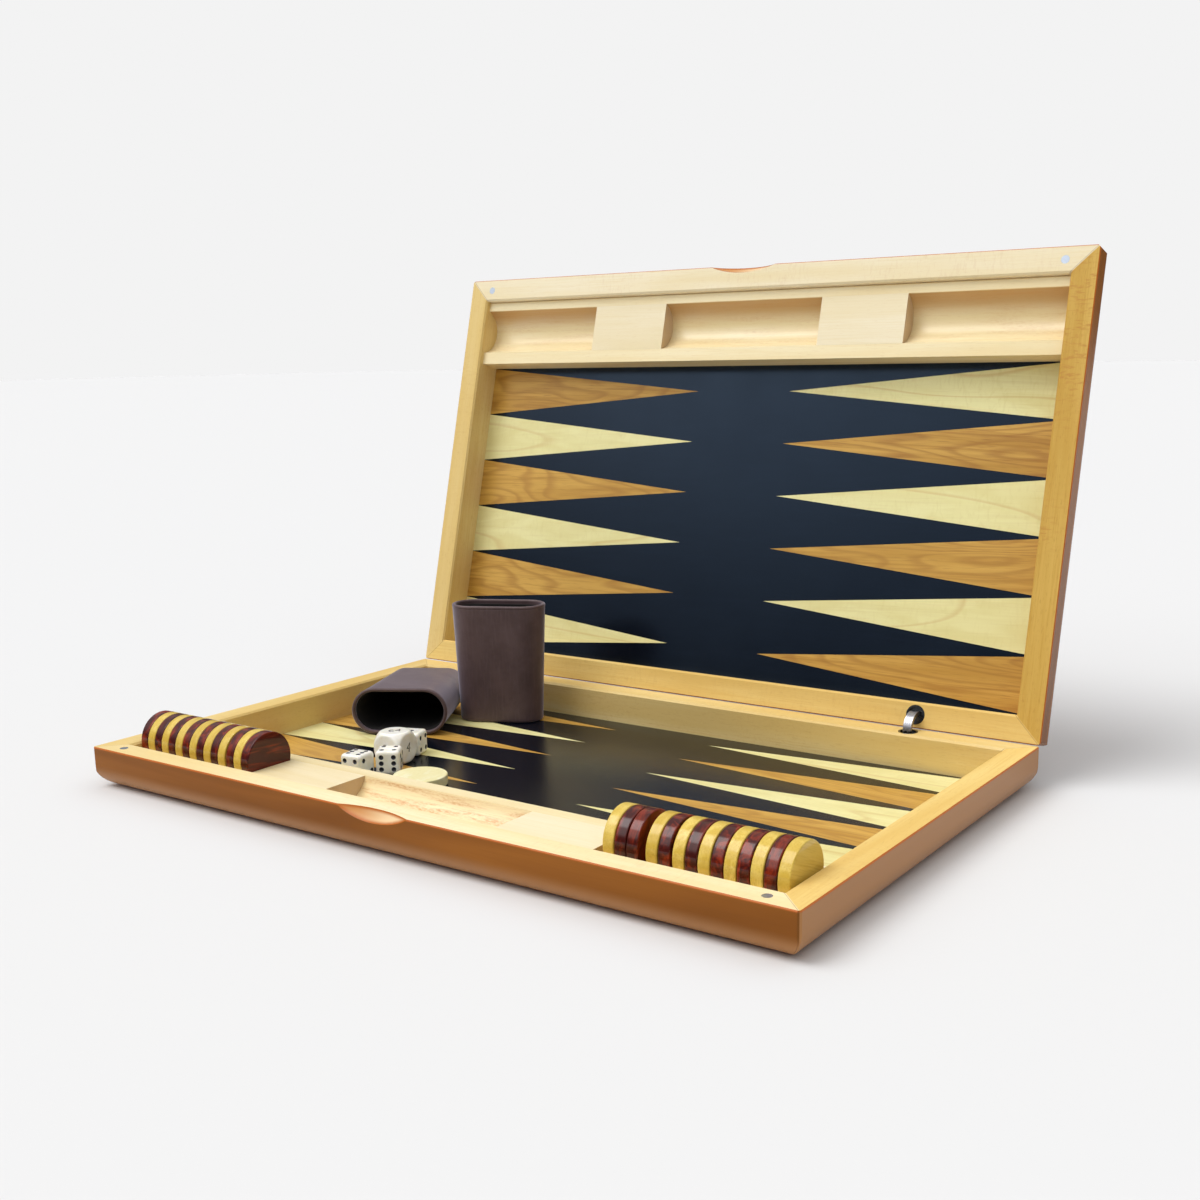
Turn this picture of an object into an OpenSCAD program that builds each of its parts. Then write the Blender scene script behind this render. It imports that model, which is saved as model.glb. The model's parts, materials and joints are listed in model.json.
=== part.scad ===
// Folding backgammon case: a tray and a lid of the same build, joined by two
// concealed barrel hinges, with its checkers, dice, doubling cube and cups.
// Origin: middle of the tray's underside. +X runs along the hinge, to the right
// of a player at the front, +Y runs back to the hinge and +Z is up.

/* [Case] */
// Outside width of each half, along the hinge
case_w = 480; // [470:5:500]
// Outside depth of each half, front to hinge
case_d = 294; // [290:2:320]
// Height of each half; the closed case is twice as high
half_h = 25; // [24:0.5:28]
// Thickness of the mitred rails
rail_t = 16; // [15.5:0.5:20]
// Radius of the rounded edge under each rail
edge_r = 14; // [8:1:15]
// Angle between the halves: 0 is closed, 180 lies flat
open_angle = 104.4; // [0:0.1:180]

/* [Board] */
// Thickness of the core panel
panel_t = 3.4; // [3.2:0.1:5]
// Thickness of the veneer and of the inlaid points
veneer_t = 0.6; // [0.5:0.1:1]
// Gap between the bases of neighbouring points
point_gap = 0.35; // [0.3:0.05:3]
// Length of a point, from the side rail to its tip
point_len = 188; // [150:1:200]

/* [Trough] */
// Depth of the trough block, front to back
trough_d = 47.7; // [46:0.1:50]
// How far the trough's lips lie below the rim
lip_drop = 4.5; // [3:0.5:5]
// Radius of the groove that holds the checkers
groove_r = 16.7; // [16.6:0.1:17]
// Length of each filler block
filler_l = 60.5; // [50:0.5:62]

/* [Hinges] */
// Distance of each hinge from the middle of the case
hinge_x = 162; // [120:1:190]
// Diameter of a hinge barrel
barrel_d = 12; // [11:0.5:12]
// Depth of a hinge barrel in its rail
barrel_h = 12; // [11.5:0.5:13]

/* [Playing pieces] */
// Diameter of a checker
checker_d = 32.4; // [30:0.2:32.4]
// Thickness of a checker
checker_t = 6.4; // [6:0.1:6.4]
// Side of a die
die_s = 15; // [13:0.5:15]
// Side of the doubling cube
cube_s = 20; // [18:0.5:20]
// Height of a dice cup
cup_h = 81.5; // [75:0.5:84]
// Thickness of a dice cup's leather wall
cup_wall = 2; // [1.5:0.1:2.5]

/* [Hidden] */
$fn = 96;
FIT = 0.05;                    // glued or pressed pieces in their pockets
GAP = 0.3;                     // between pieces that move apart
ARRIS = 0.5;                   // eased outer edge of the rims
INNER_ARRIS = 1.2;             // and their inner edge
CORNER = 1.6;                  // eased upright corners
inner_w = case_w - 2 * rail_t;
inner_d = case_d - 2 * rail_t;
field_z = panel_t + veneer_t;  // height of the playing surface
lip_z = half_h - lip_drop;
trough_y = -inner_d / 2;       // front of the trough block
groove_y = trough_y + 22.75;   // centre line of the groove
groove_z = half_h;
field_y0 = trough_y + trough_d;
field_y1 = inner_d / 2;
points_n = 6;
point_pitch = (field_y1 - field_y0) / points_n;
point_w = point_pitch - point_gap;

tongue = 3;                    // panel's tongue in the rails' groove
tongue_z = 1.2;
tongue_t = 1.5;

axis_gap = GAP / 2;            // hinge axis stands off the back corner by this
axis_y = case_d / 2 + axis_gap;
axis_z = half_h + axis_gap;
barrel_y = axis_y - 8.25;      // centre of a barrel in the rim
link_r0 = 8.0;                 // hinge links are arcs about the hinge axis
link_r1 = 10.4;
link_reach = 66;               // how far they reach into each barrel, degrees
link_t = 1.2;
link_step = 1.3;
slot_w = 5.6;
slot_reach = 68.5;

magnet_d = 5;
magnet_h = 3;
magnet_x = case_w / 2 - 20;
magnet_y = -case_d / 2 + 8;

scoop_r = 12.5;                // finger scoop: widest radius of its spindle
scoop_out = 7;                 // its axis stands this far off the front face
scoop_rise = 3.9;              // and this far above the rim
scoop_half = 25.5;             // half its length on the front face
scoop_sag = scoop_r - norm([scoop_out, scoop_rise]);
scoop_arc = (pow(scoop_half, 2) + pow(scoop_sag, 2)) / (2 * scoop_sag);

tray_scoop_x = -6;             // the tray's scoop is cut off centre
lid_scoop_x = 0;

cup_mouth = [65, 31];          // long and short width at the mouth
cup_foot = [58, 27.5];         // and at the foot
cup_sole_t = 3;
lining_t = 0.8;

standing_cup_at = [-123.6, 98.9];
standing_cup_turn = 25;
lying_cup_at = [-192.2, 98]; // middle of its foot
lying_cup_turn = 29;
die_left_at = [-107.6, -56.6];
die_left_turn = 8;
die_front_at = [-97.2, -40.1];
die_front_turn = 35;
die_back_at = [-114.3, -1.7];
die_back_turn = 19;
cube_at = [-110.1, -21.3];
cube_turn = 7;
loose_checker_at = [-63.4, -49.3];

// Distances of the filler blocks' middles from the middle of each half
tray_fillers = [-95.4, 86];
lid_fillers = [-91.5, 91];

// Rows of checkers lie in the groove: "D" dark, "L" light, "-" a small gap,
// "=" a wide one, from the left
left_row = "DLDLDLDLDLDL-DLD";
left_step = checker_t + 0.02;
left_row_x = -inner_w / 2 + 0.8;
right_row = "LDD=LD-LDLDLDLDL";
right_step = checker_t + 0.4;
right_row_x = inner_w / 2 - 0.5;
small_gap = 1.0;
wide_gap = 4;

// ---- Placing the lid: the tray's mirror image, turned about the hinge ----

module in_lid() {
    translate([0, axis_y, axis_z])
        rotate([-open_angle, 0, 0])
            translate([0, -axis_y, axis_z])
                mirror([0, 0, 1])
                    children();
}

// ---- Rails ----

// Section of a rail, outer face at x = 0, underside at y = 0
module rail_section() {
    difference() {
        square([rail_t, half_h]);
        difference() {
            square([edge_r, edge_r]);
            translate([edge_r, edge_r])
                circle(edge_r);
        }
        polygon([[0, half_h], [ARRIS, half_h], [0, half_h - ARRIS]]);
        polygon([[rail_t, half_h], [rail_t - INNER_ARRIS, half_h], [rail_t, half_h - INNER_ARRIS]]);
        translate([rail_t - tongue, tongue_z])
            square([tongue, tongue_t]);
    }
}

// A rail along X with its outer face at y = -depth / 2 and 45 degree mitres
module mitred_rail(length, depth) {
    intersection() {
        translate([-length / 2, -depth / 2, 0])
            rotate([90, 0, 90])
                linear_extrude(length)
                    rail_section();
        translate([0, -depth / 2, 0])
            linear_extrude(half_h)
                polygon([
                    [-length / 2 + CORNER, 0], [length / 2 - CORNER, 0],
                    [(length - CORNER) / 2, CORNER / 2],
                    [length / 2 - rail_t, rail_t], [-length / 2 + rail_t, rail_t],
                    [-(length - CORNER) / 2, CORNER / 2]
                ]);
    }
}

module scoop(x) {
    translate([x, -case_d / 2 - scoop_out, half_h + scoop_rise])
        rotate([0, 90, 0])
            rotate_extrude()
                intersection() {
                    translate([scoop_r - scoop_arc, 0])
                        circle(scoop_arc);
                    translate([0, -2 * scoop_half])
                        square([2 * scoop_r, 4 * scoop_half]);
                }
}

module front_rail(scoop_x) {
    difference() {
        mitred_rail(case_w, case_d);
        scoop(scoop_x);
        for (s = [-1, 1])
            translate([s * magnet_x, magnet_y, half_h - magnet_h - FIT])
                cylinder(d = magnet_d + 2 * FIT, h = magnet_h + 1);
    }
}

module back_rail() {
    difference() {
        rotate([0, 0, 180])
            mitred_rail(case_w, case_d);
        for (s = [-1, 1])
            translate([s * hinge_x, barrel_y, half_h - barrel_h - FIT])
                cylinder(d = barrel_d + 2 * FIT, h = barrel_h + 1);
    }
}

module side_rail(side) {
    rotate([0, 0, 90 * side])
        mitred_rail(case_d, case_w);
}

// ---- Board ----

module panel() {
    translate([-inner_w / 2, -inner_d / 2, 0])
        cube([inner_w, inner_d, panel_t]);
    translate([-inner_w / 2 - tongue, -inner_d / 2 - tongue, tongue_z])
        cube([inner_w + 2 * tongue, inner_d + 2 * tongue, tongue_t]);
}

// Points alternate, counted from the hinge: every second one of either wood
// stands on the other side
module points_2d(parity) {
    for (i = [0 : points_n - 1]) {
        side = i % 2 == parity ? -1 : 1;
        y = field_y1 - (i + 0.5) * point_pitch;
        polygon([
            [side * inner_w / 2, y - point_w / 2],
            [side * inner_w / 2, y + point_w / 2],
            [side * (inner_w / 2 - point_len), y]
        ]);
    }
}

module points(parity) {
    translate([0, 0, panel_t])
        linear_extrude(veneer_t)
            points_2d(parity);
}

module field_veneer() {
    translate([0, 0, panel_t])
        linear_extrude(veneer_t)
            difference() {
                translate([-inner_w / 2, field_y0])
                    square([inner_w, field_y1 - field_y0]);
                points_2d(0);
                points_2d(1);
            }
}

// ---- Checker trough ----

module groove_bore(r, length) {
    translate([-length / 2, groove_y, groove_z])
        rotate([0, 90, 0])
            cylinder(r = r, h = length);
}

module trough() {
    relief = 1; // chamfer that leaves a shadow line beside the front rail
    difference() {
        translate([-inner_w / 2, trough_y, panel_t])
            cube([inner_w, trough_d, lip_z - panel_t]);
        groove_bore(groove_r, inner_w + 2);
        translate([-inner_w / 2 - 1, trough_y, lip_z])
            rotate([90, 0, 90])
                linear_extrude(inner_w + 2)
                    polygon([[-1, 1], [relief, 0], [0, -relief], [-1, -relief]]);
    }
}

module filler(middle) {
    intersection() {
        translate([middle, 0, 0])
            groove_bore(groove_r - FIT, filler_l);
        translate([middle - filler_l, trough_y, 0])
            cube([2 * filler_l, trough_d, lip_z]);
    }
}

// ---- Magnets and hinges ----

module magnets() {
    for (s = [-1, 1])
        translate([s * magnet_x, magnet_y, half_h - magnet_h])
            cylinder(d = magnet_d, h = magnet_h);
}

// Part of a flat ring about the hinge axis. Angles run from the tray's rim, up
// and over towards the lid
module hinge_arc(r0, r1, from, to, width) {
    translate([width / 2, axis_y, axis_z])
        rotate([90, 0, -90])
            rotate([0, 0, from])
                rotate_extrude(angle = to - from)
                    translate([r0, 0])
                        square([r1 - r0, width]);
}

module barrels() {
    mouth_r = barrel_d / 2 - 1.1;
    mouth_h = 1.6;
    for (s = [-1, 1])
        translate([s * hinge_x, 0, 0])
            difference() {
                translate([0, barrel_y, half_h - barrel_h])
                    cylinder(d = barrel_d, h = barrel_h);
                translate([0, barrel_y, half_h - mouth_h])
                    cylinder(r = mouth_r, h = mouth_h + 1);
                hinge_arc(link_r0 - GAP, link_r1 + GAP, -slot_reach, slot_reach, slot_w);
            }
}

// Two leaves of one set at each hinge; the two sets interleave
module links(turn, first) {
    for (s = [-1, 1])
        for (k = [0, 1])
            translate([s * hinge_x + (first + 2 * k - 1.5) * link_step, 0, 0])
                hinge_arc(link_r0, link_r1, turn - link_reach, turn + link_reach, link_t);
}

// ---- Checkers ----

// A disc with its axis along Z and its lower face at z = 0
module checker() {
    r = checker_d / 2;
    e = 0.7; // radius of the rounded edge
    rotate_extrude()
        union() {
            square([r - e, checker_t]);
            translate([0, e])
                square([r, checker_t - 2 * e]);
            for (z = [e, checker_t - e])
                translate([r - e, z])
                    circle(e, $fn = 48);
        }
}

// Length along the row taken up by the pieces and gaps before place i
function row_at(row, i, step) =
    i == 0 ? 0 : row_at(row, i - 1, step) + slot_len(row[i - 1], step);
function slot_len(c, step) =
    c == "-" ? small_gap : c == "=" ? wide_gap : step;

module checker_row(row, start, step, kind) {
    for (i = [0 : len(row) - 1])
        if (row[i] == kind)
            translate([
                start + row_at(row, i, step),
                groove_y,
                groove_z - groove_r + checker_d / 2 + GAP
            ])
                rotate([0, 90, 0])
                    checker();
}

module left_checkers(kind) {
    checker_row(left_row, left_row_x, left_step, kind);
}

// This row ends against the right rail
module right_checkers(kind) {
    row_len = row_at(right_row, len(right_row), right_step);
    checker_row(right_row, right_row_x - row_len, right_step, kind);
}

// ---- Dice ----

// Cube on z = 0 with its corners rounded off by a ball
module rounded_cube(s, ball) {
    translate([0, 0, s / 2])
        intersection() {
            cube(s, center = true);
            sphere(s * ball);
        }
}

// Pips of one face, on the +Z side of a cube of side s centred on the origin
module pips(n, s) {
    p = s * 0.25;
    r = s * 0.1;
    spots = [
        if (n % 2 == 1) [0, 0],
        if (n > 1) [p, p],
        if (n > 1) [-p, -p],
        if (n > 3) [p, -p],
        if (n > 3) [-p, p],
        if (n == 6) [p, 0],
        if (n == 6) [-p, 0]
    ];
    for (q = spots)
        translate([q[0], q[1], s / 2 + r * 0.55])
            sphere(r, $fn = 32);
}

// A die; faces gives the numbers on top, front, right and their opposites
module die(top, front, right) {
    translate([0, 0, GAP])
        difference() {
            rounded_cube(die_s, 0.72);
            translate([0, 0, die_s / 2]) {
                pips(top, die_s);
                rotate([180, 0, 0]) pips(7 - top, die_s);
                rotate([90, 0, 0]) pips(front, die_s);
                rotate([-90, 0, 0]) pips(7 - front, die_s);
                rotate([0, 90, 0]) pips(right, die_s);
                rotate([0, -90, 0]) pips(7 - right, die_s);
            }
        }
}

module on_field(at, turn) {
    translate([at[0], at[1], field_z])
        rotate([0, 0, turn])
            children();
}

// ---- Dice cups ----

// Solid oval cup, drawn in by "inset" all round
module cup_form(inset) {
    slice = 0.1;
    hull() {
        for (s = [-1, 1])
            translate([s * (cup_foot[0] - cup_foot[1]) / 2, 0, 0])
                cylinder(d = cup_foot[1] - 2 * inset, h = slice, $fn = 64);
        for (s = [-1, 1])
            translate([s * (cup_mouth[0] - cup_mouth[1]) / 2, 0, cup_h - slice])
                cylinder(d = cup_mouth[1] - 2 * inset, h = slice, $fn = 64);
    }
}

module cup_wall_tube() {
    difference() {
        cup_form(0);
        cup_form(cup_wall);
    }
}

module cup_sole() {
    intersection() {
        cup_form(cup_wall);
        translate([-cup_mouth[0] / 2, -cup_mouth[1] / 2, 0])
            cube([cup_mouth[0], cup_mouth[1], cup_sole_t]);
    }
}

module cup_lining() {
    short = 3; // the lining stops this far below the mouth
    intersection() {
        difference() {
            cup_form(cup_wall);
            cup_form(cup_wall + lining_t);
        }
        translate([-cup_mouth[0] / 2, -cup_mouth[1] / 2, cup_sole_t])
            cube([cup_mouth[0], cup_mouth[1], cup_h - cup_sole_t - short]);
    }
}

module standing() {
    on_field(standing_cup_at, standing_cup_turn)
        translate([0, 0, GAP])
            children();
}

// Laid on its flat side, mouth to the front, with that side level
module lying() {
    lean = atan((cup_mouth[1] - cup_foot[1]) / 2 / cup_h);
    on_field(lying_cup_at, lying_cup_turn)
        translate([0, 0, GAP])
            rotate([90 - lean, 0, 0])
                translate([0, cup_foot[1] / 2, 0])
                    children();
}

// ---- Nodes: the tray ----

BEECH = "BurlyWood";
MAPLE = "LemonChiffon";
CHERRY = "Peru";
DARK = "Maroon";
LIGHT = "Khaki";
LEATHER = "#463735";

module tray_front_rail() { color(BEECH) front_rail(tray_scoop_x); }
module tray_back_rail() { color(BEECH) back_rail(); }
module tray_left_rail() { color(BEECH) side_rail(-1); }
module tray_right_rail() { color(BEECH) side_rail(1); }
module tray_panel() { color(BEECH) panel(); }
module tray_field_veneer() { color("MidnightBlue") field_veneer(); }
module tray_cherry_points() { color(CHERRY) points(0); }
module tray_maple_points() { color(MAPLE) points(1); }
module tray_trough() { color(BEECH) trough(); }
module tray_left_filler() { color(BEECH) filler(tray_fillers[0]); }
module tray_right_filler() { color(BEECH) filler(tray_fillers[1]); }
module tray_magnets() { color("LightSteelBlue") magnets(); }
module tray_hinge_barrels() { color("Silver") barrels(); }

// ---- Nodes: the lid ----

module lid_front_rail() { color(BEECH) in_lid() front_rail(lid_scoop_x); }
module lid_back_rail() { color(BEECH) in_lid() back_rail(); }
module lid_left_rail() { color(BEECH) in_lid() side_rail(-1); }
module lid_right_rail() { color(BEECH) in_lid() side_rail(1); }
module lid_panel() { color(BEECH) in_lid() panel(); }
module lid_field_veneer() { color("MidnightBlue") in_lid() field_veneer(); }
module lid_cherry_points() { color(CHERRY) in_lid() points(1); }
module lid_maple_points() { color(MAPLE) in_lid() points(0); }
module lid_trough() { color(BEECH) in_lid() trough(); }
module lid_left_filler() { color(BEECH) in_lid() filler(lid_fillers[0]); }
module lid_right_filler() { color(BEECH) in_lid() filler(lid_fillers[1]); }
module lid_magnets() { color("LightSteelBlue") in_lid() magnets(); }
module lid_hinge_barrels() { color("Silver") in_lid() barrels(); }

// ---- Nodes: hinge links, which share the lid's turn in thirds ----

module hinge_links_lower() { color("Gainsboro") links(open_angle / 3, 0); }
module hinge_links_upper() { color("Silver") links(open_angle * 2 / 3, 1); }

// ---- Nodes: loose pieces ----

module standing_cup_wall() { color(LEATHER) standing() cup_wall_tube(); }
module standing_cup_sole() { color(LEATHER) standing() cup_sole(); }
module standing_cup_lining() { color("Black") standing() cup_lining(); }
module lying_cup_wall() { color(LEATHER) lying() cup_wall_tube(); }
module lying_cup_sole() { color(LEATHER) lying() cup_sole(); }
module lying_cup_lining() { color("Black") lying() cup_lining(); }
module die_left() { color("Ivory") on_field(die_left_at, die_left_turn) die(6, 4, 2); }
module die_front() { color("Ivory") on_field(die_front_at, die_front_turn) die(4, 6, 5); }
module die_back() { color("Ivory") on_field(die_back_at, die_back_turn) die(1, 5, 4); }
module doubling_cube() {
    color("Ivory")
        on_field(cube_at, cube_turn)
            translate([0, 0, GAP])
                rounded_cube(cube_s, 0.7);
}
module left_dark_checkers() { color(DARK) left_checkers("D"); }
module left_light_checkers() { color(LIGHT) left_checkers("L"); }
module right_dark_checkers() { color(DARK) right_checkers("D"); }
module right_light_checkers() { color(LIGHT) right_checkers("L"); }
module loose_checker() {
    color(LIGHT)
        on_field(loose_checker_at, 0)
            translate([0, 0, GAP])
                checker();
}

tray_front_rail();
tray_back_rail();
tray_left_rail();
tray_right_rail();
tray_panel();
tray_field_veneer();
tray_cherry_points();
tray_maple_points();
tray_trough();
tray_left_filler();
tray_right_filler();
tray_magnets();
tray_hinge_barrels();
lid_front_rail();
lid_back_rail();
lid_left_rail();
lid_right_rail();
lid_panel();
lid_field_veneer();
lid_cherry_points();
lid_maple_points();
lid_trough();
lid_left_filler();
lid_right_filler();
lid_magnets();
lid_hinge_barrels();
hinge_links_lower();
hinge_links_upper();
standing_cup_wall();
standing_cup_sole();
standing_cup_lining();
lying_cup_wall();
lying_cup_sole();
lying_cup_lining();
die_left();
die_front();
die_back();
doubling_cube();
left_dark_checkers();
left_light_checkers();
right_dark_checkers();
right_light_checkers();
loose_checker();
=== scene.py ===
"""Looks of the folding backgammon case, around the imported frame.

Woods and lacquers go on the CAD nodes. The leather cups, the dice and the
doubling cube are finer meshes that stand for their nodes.
"""

import json
import math

import bmesh
import bpy
from mathutils import Matrix, Vector

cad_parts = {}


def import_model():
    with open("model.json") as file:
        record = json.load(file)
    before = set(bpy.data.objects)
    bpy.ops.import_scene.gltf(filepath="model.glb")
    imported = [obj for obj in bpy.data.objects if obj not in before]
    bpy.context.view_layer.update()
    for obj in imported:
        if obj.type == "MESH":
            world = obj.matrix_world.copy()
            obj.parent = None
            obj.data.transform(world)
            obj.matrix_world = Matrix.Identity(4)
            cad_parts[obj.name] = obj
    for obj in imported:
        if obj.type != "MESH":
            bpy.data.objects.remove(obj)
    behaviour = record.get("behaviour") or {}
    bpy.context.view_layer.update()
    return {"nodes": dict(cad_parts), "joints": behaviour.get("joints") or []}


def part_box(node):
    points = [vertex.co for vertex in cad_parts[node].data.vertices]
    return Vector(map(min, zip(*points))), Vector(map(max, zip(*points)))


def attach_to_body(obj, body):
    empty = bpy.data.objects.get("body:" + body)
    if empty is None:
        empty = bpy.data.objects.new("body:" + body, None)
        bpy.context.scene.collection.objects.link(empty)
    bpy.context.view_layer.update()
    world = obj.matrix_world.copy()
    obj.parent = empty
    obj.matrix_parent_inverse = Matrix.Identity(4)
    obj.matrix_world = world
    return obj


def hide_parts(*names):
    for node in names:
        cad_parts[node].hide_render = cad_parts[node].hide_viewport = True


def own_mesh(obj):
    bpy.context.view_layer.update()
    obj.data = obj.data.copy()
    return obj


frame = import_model()
MM = 0.001

# ---------------------------------------------------------------- driving dimensions

TRAY_LOW, TRAY_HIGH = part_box("tray_front_rail")
BACK_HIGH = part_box("tray_back_rail")[1]
CASE_W = TRAY_HIGH.x - TRAY_LOW.x
CASE_D = BACK_HIGH.y - TRAY_LOW.y
HALF_H = TRAY_HIGH.z
FIELD_FRONT, FIELD_BACK = (corner.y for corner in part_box("tray_field_veneer"))
HINGE = next(j for j in frame["joints"] if j["name"] == "lid_hinge")
AXIS = Vector(HINGE["pos_m"])
OPEN = math.radians(-HINGE["range_deg"][0])  # the lid stands this far from closed at rest
POINTS = 6  # along each side of a half
POINT_PITCH = (FIELD_BACK - FIELD_FRONT) / POINTS
EDGE_BAND = 14 * MM  # height of the rounded outer edge
RIM_STEP = 4.7 * MM  # the trough block lies just less than this below the rim
ROW_AXIS = sum(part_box("left_dark_checkers"), Vector()) / 2  # centre line of the rows, in y and z

# ---------------------------------------------------------------- shader helper


def srgb(r, g, b):
    """A linear RGBA colour from 0-255 screen values."""

    def one(c):
        c /= 255
        return c / 12.92 if c <= 0.04045 else ((c + 0.055) / 1.055) ** 2.4

    return (one(r), one(g), one(b), 1.0)


class Shader:
    """A material and short calls that add its nodes. Each call returns an output socket."""

    def __init__(self, name):
        self.material = bpy.data.materials.new(name)
        self.material.use_nodes = True
        self.tree = self.material.node_tree
        self.bsdf = self.tree.nodes["Principled BSDF"]

    def node(self, kind, **settings):
        n = self.tree.nodes.new(kind)
        for key, value in settings.items():
            setattr(n, key, value)
        return n

    def put(self, socket, value):
        if isinstance(value, bpy.types.NodeSocket):
            self.tree.links.new(value, socket)
        else:
            socket.default_value = value

    def set(self, **values):
        """Sets the surface shader's own sockets, by name with _ for a space."""
        for key, value in values.items():
            self.put(self.bsdf.inputs[key.replace("_", " ")], value)

    def coords(self, kind="Object"):
        return self.node("ShaderNodeTexCoord").outputs[kind]

    def math(self, operation, a, b=0.0, c=0.0, clamp=False):
        n = self.node("ShaderNodeMath", operation=operation, use_clamp=clamp)
        for socket, value in zip(n.inputs, (a, b, c)):
            self.put(socket, value)
        return n.outputs[0]

    def vector(self, operation, a, b=(0, 0, 0)):
        n = self.node("ShaderNodeVectorMath", operation=operation)
        self.put(n.inputs[0], a)
        self.put(n.inputs[1], b)
        return n.outputs["Value" if operation in ("DOT_PRODUCT", "LENGTH") else "Vector"]

    def scaled(self, vector, by):
        return self.vector("MULTIPLY", vector, by)

    def split(self, vector):
        n = self.node("ShaderNodeSeparateXYZ")
        self.put(n.inputs[0], vector)
        return n.outputs

    def join(self, x, y, z):
        n = self.node("ShaderNodeCombineXYZ")
        for socket, value in zip(n.inputs, (x, y, z)):
            self.put(socket, value)
        return n.outputs[0]

    def turn(self, vector, angle, axis="X_AXIS", center=(0, 0, 0)):
        n = self.node("ShaderNodeVectorRotate", rotation_type=axis)
        self.put(n.inputs["Vector"], vector)
        self.put(n.inputs["Angle"], angle)
        n.inputs["Center"].default_value = center
        return n.outputs[0]

    def noise(self, vector, scale=1.0, detail=2.0, roughness=0.5, distortion=0.0):
        n = self.node("ShaderNodeTexNoise")
        self.put(n.inputs["Vector"], vector)
        n.inputs["Scale"].default_value = scale
        n.inputs["Detail"].default_value = detail
        n.inputs["Roughness"].default_value = roughness
        n.inputs["Distortion"].default_value = distortion
        return n.outputs[0]

    def white_noise(self, value):
        n = self.node("ShaderNodeTexWhiteNoise", noise_dimensions="1D")
        self.put(n.inputs["W"], value)
        return n.outputs[0]

    def voronoi(self, vector, scale, feature="F1"):
        n = self.node("ShaderNodeTexVoronoi", feature=feature)
        self.put(n.inputs["Vector"], vector)
        n.inputs["Scale"].default_value = scale
        return n.outputs["Distance"]

    def ramp(self, value, low, high, to_low=0.0, to_high=1.0, smooth=True):
        n = self.node("ShaderNodeMapRange", interpolation_type="SMOOTHSTEP" if smooth else "LINEAR")
        for socket, v in zip(n.inputs, (value, low, high, to_low, to_high)):
            self.put(socket, v)
        return n.outputs[0]

    def mix(self, share, a, b, mode="MIX"):
        n = self.node("ShaderNodeMix", data_type="RGBA", blend_type=mode)
        self.put(n.inputs[0], share)
        self.put(n.inputs[6], a)
        self.put(n.inputs[7], b)
        return n.outputs[2]

    def bump(self, height, distance, strength=1.0):
        n = self.node("ShaderNodeBump")
        n.inputs["Strength"].default_value = strength
        n.inputs["Distance"].default_value = distance
        self.put(n.inputs["Height"], height)
        self.put(self.bsdf.inputs["Normal"], n.outputs[0])
        return n.outputs[0]


def half_coords(s, half):
    """Position in the tray's frame: the lid's is turned shut and mirrored on to the tray."""
    if half == "tray":
        return s.coords()
    shut = s.turn(s.coords(), OPEN, center=AXIS)
    return s.vector("ADD", s.scaled(shut, (1, 1, -1)), (0, 0, 2 * AXIS.z))


def half_normal(s, half):
    if half == "tray":
        return s.coords("Normal")
    return s.scaled(s.turn(s.coords("Normal"), OPEN), (1, 1, -1))


# ---------------------------------------------------------------- woods


def beech_tone(light, warm, fleck, share):
    return dict(light=srgb(*light), warm=srgb(*warm), fleck=srgb(*fleck), fleck_share=share)


CREAM = beech_tone((246, 234, 204), (238, 221, 178), (206, 172, 120), 0.12)
PALE = beech_tone((250, 236, 196), (241, 220, 168), (208, 168, 108), 0.15)
HONEY = beech_tone((240, 212, 138), (226, 188, 108), (188, 140, 70), 0.2)
GOLD = beech_tone((236, 212, 150), (224, 192, 120), (190, 146, 80), 0.2)
SHADED_OCHRE = beech_tone((214, 176, 92), (196, 152, 68), (162, 110, 46), 0.25)
STAIN = dict(light=srgb(160, 98, 32), dark=srgb(126, 72, 18), edge=srgb(196, 104, 40))


def along(s, p, axis, stretch):
    """The position shrunk by stretch along the grain, so that a noise in it runs that way."""
    scale = [1.0, 1.0, 1.0]
    scale["xyz".index(axis)] = 1 / stretch
    return s.scaled(p, scale)


def beech_colour(s, p, axis, tone, seed):
    """Beech: soft broad bands, fine grain lines and the short dark flecks of its rays."""
    p = s.vector("ADD", p, (seed * 0.37, seed * 0.73, seed * 0.19))
    bands = s.noise(along(s, p, axis, 9), 38, 3, 0.55, 0.4)
    colour = s.mix(s.ramp(bands, 0.3, 0.7), tone["light"], tone["warm"])
    lines = s.noise(along(s, p, axis, 40), 900, 2, 0.6)
    colour = s.mix(s.ramp(lines, 0.42, 0.72, 0.0, 0.6), colour, tone["warm"])
    flecks = s.noise(along(s, p, axis, 9), 1700, 1, 0.5)
    share = s.ramp(flecks, 0.6, 0.72, 0.0, tone["fleck_share"])
    return s.mix(share, colour, tone["fleck"]), lines, flecks


def curl(s, p, axis, strength):
    """Curly figure: uneven bands across the grain."""
    across = {"x": "yz", "y": "xz", "z": "xy"}[axis][0]
    wavy = s.noise(along(s, p, across, 4), 620, 2, 0.6, 0.5)
    where = s.noise(p, 22, 1)
    return s.math("MULTIPLY", s.ramp(wavy, 0.5, 0.7), s.ramp(where, 0.35, 0.6, 0.0, strength))


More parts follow.
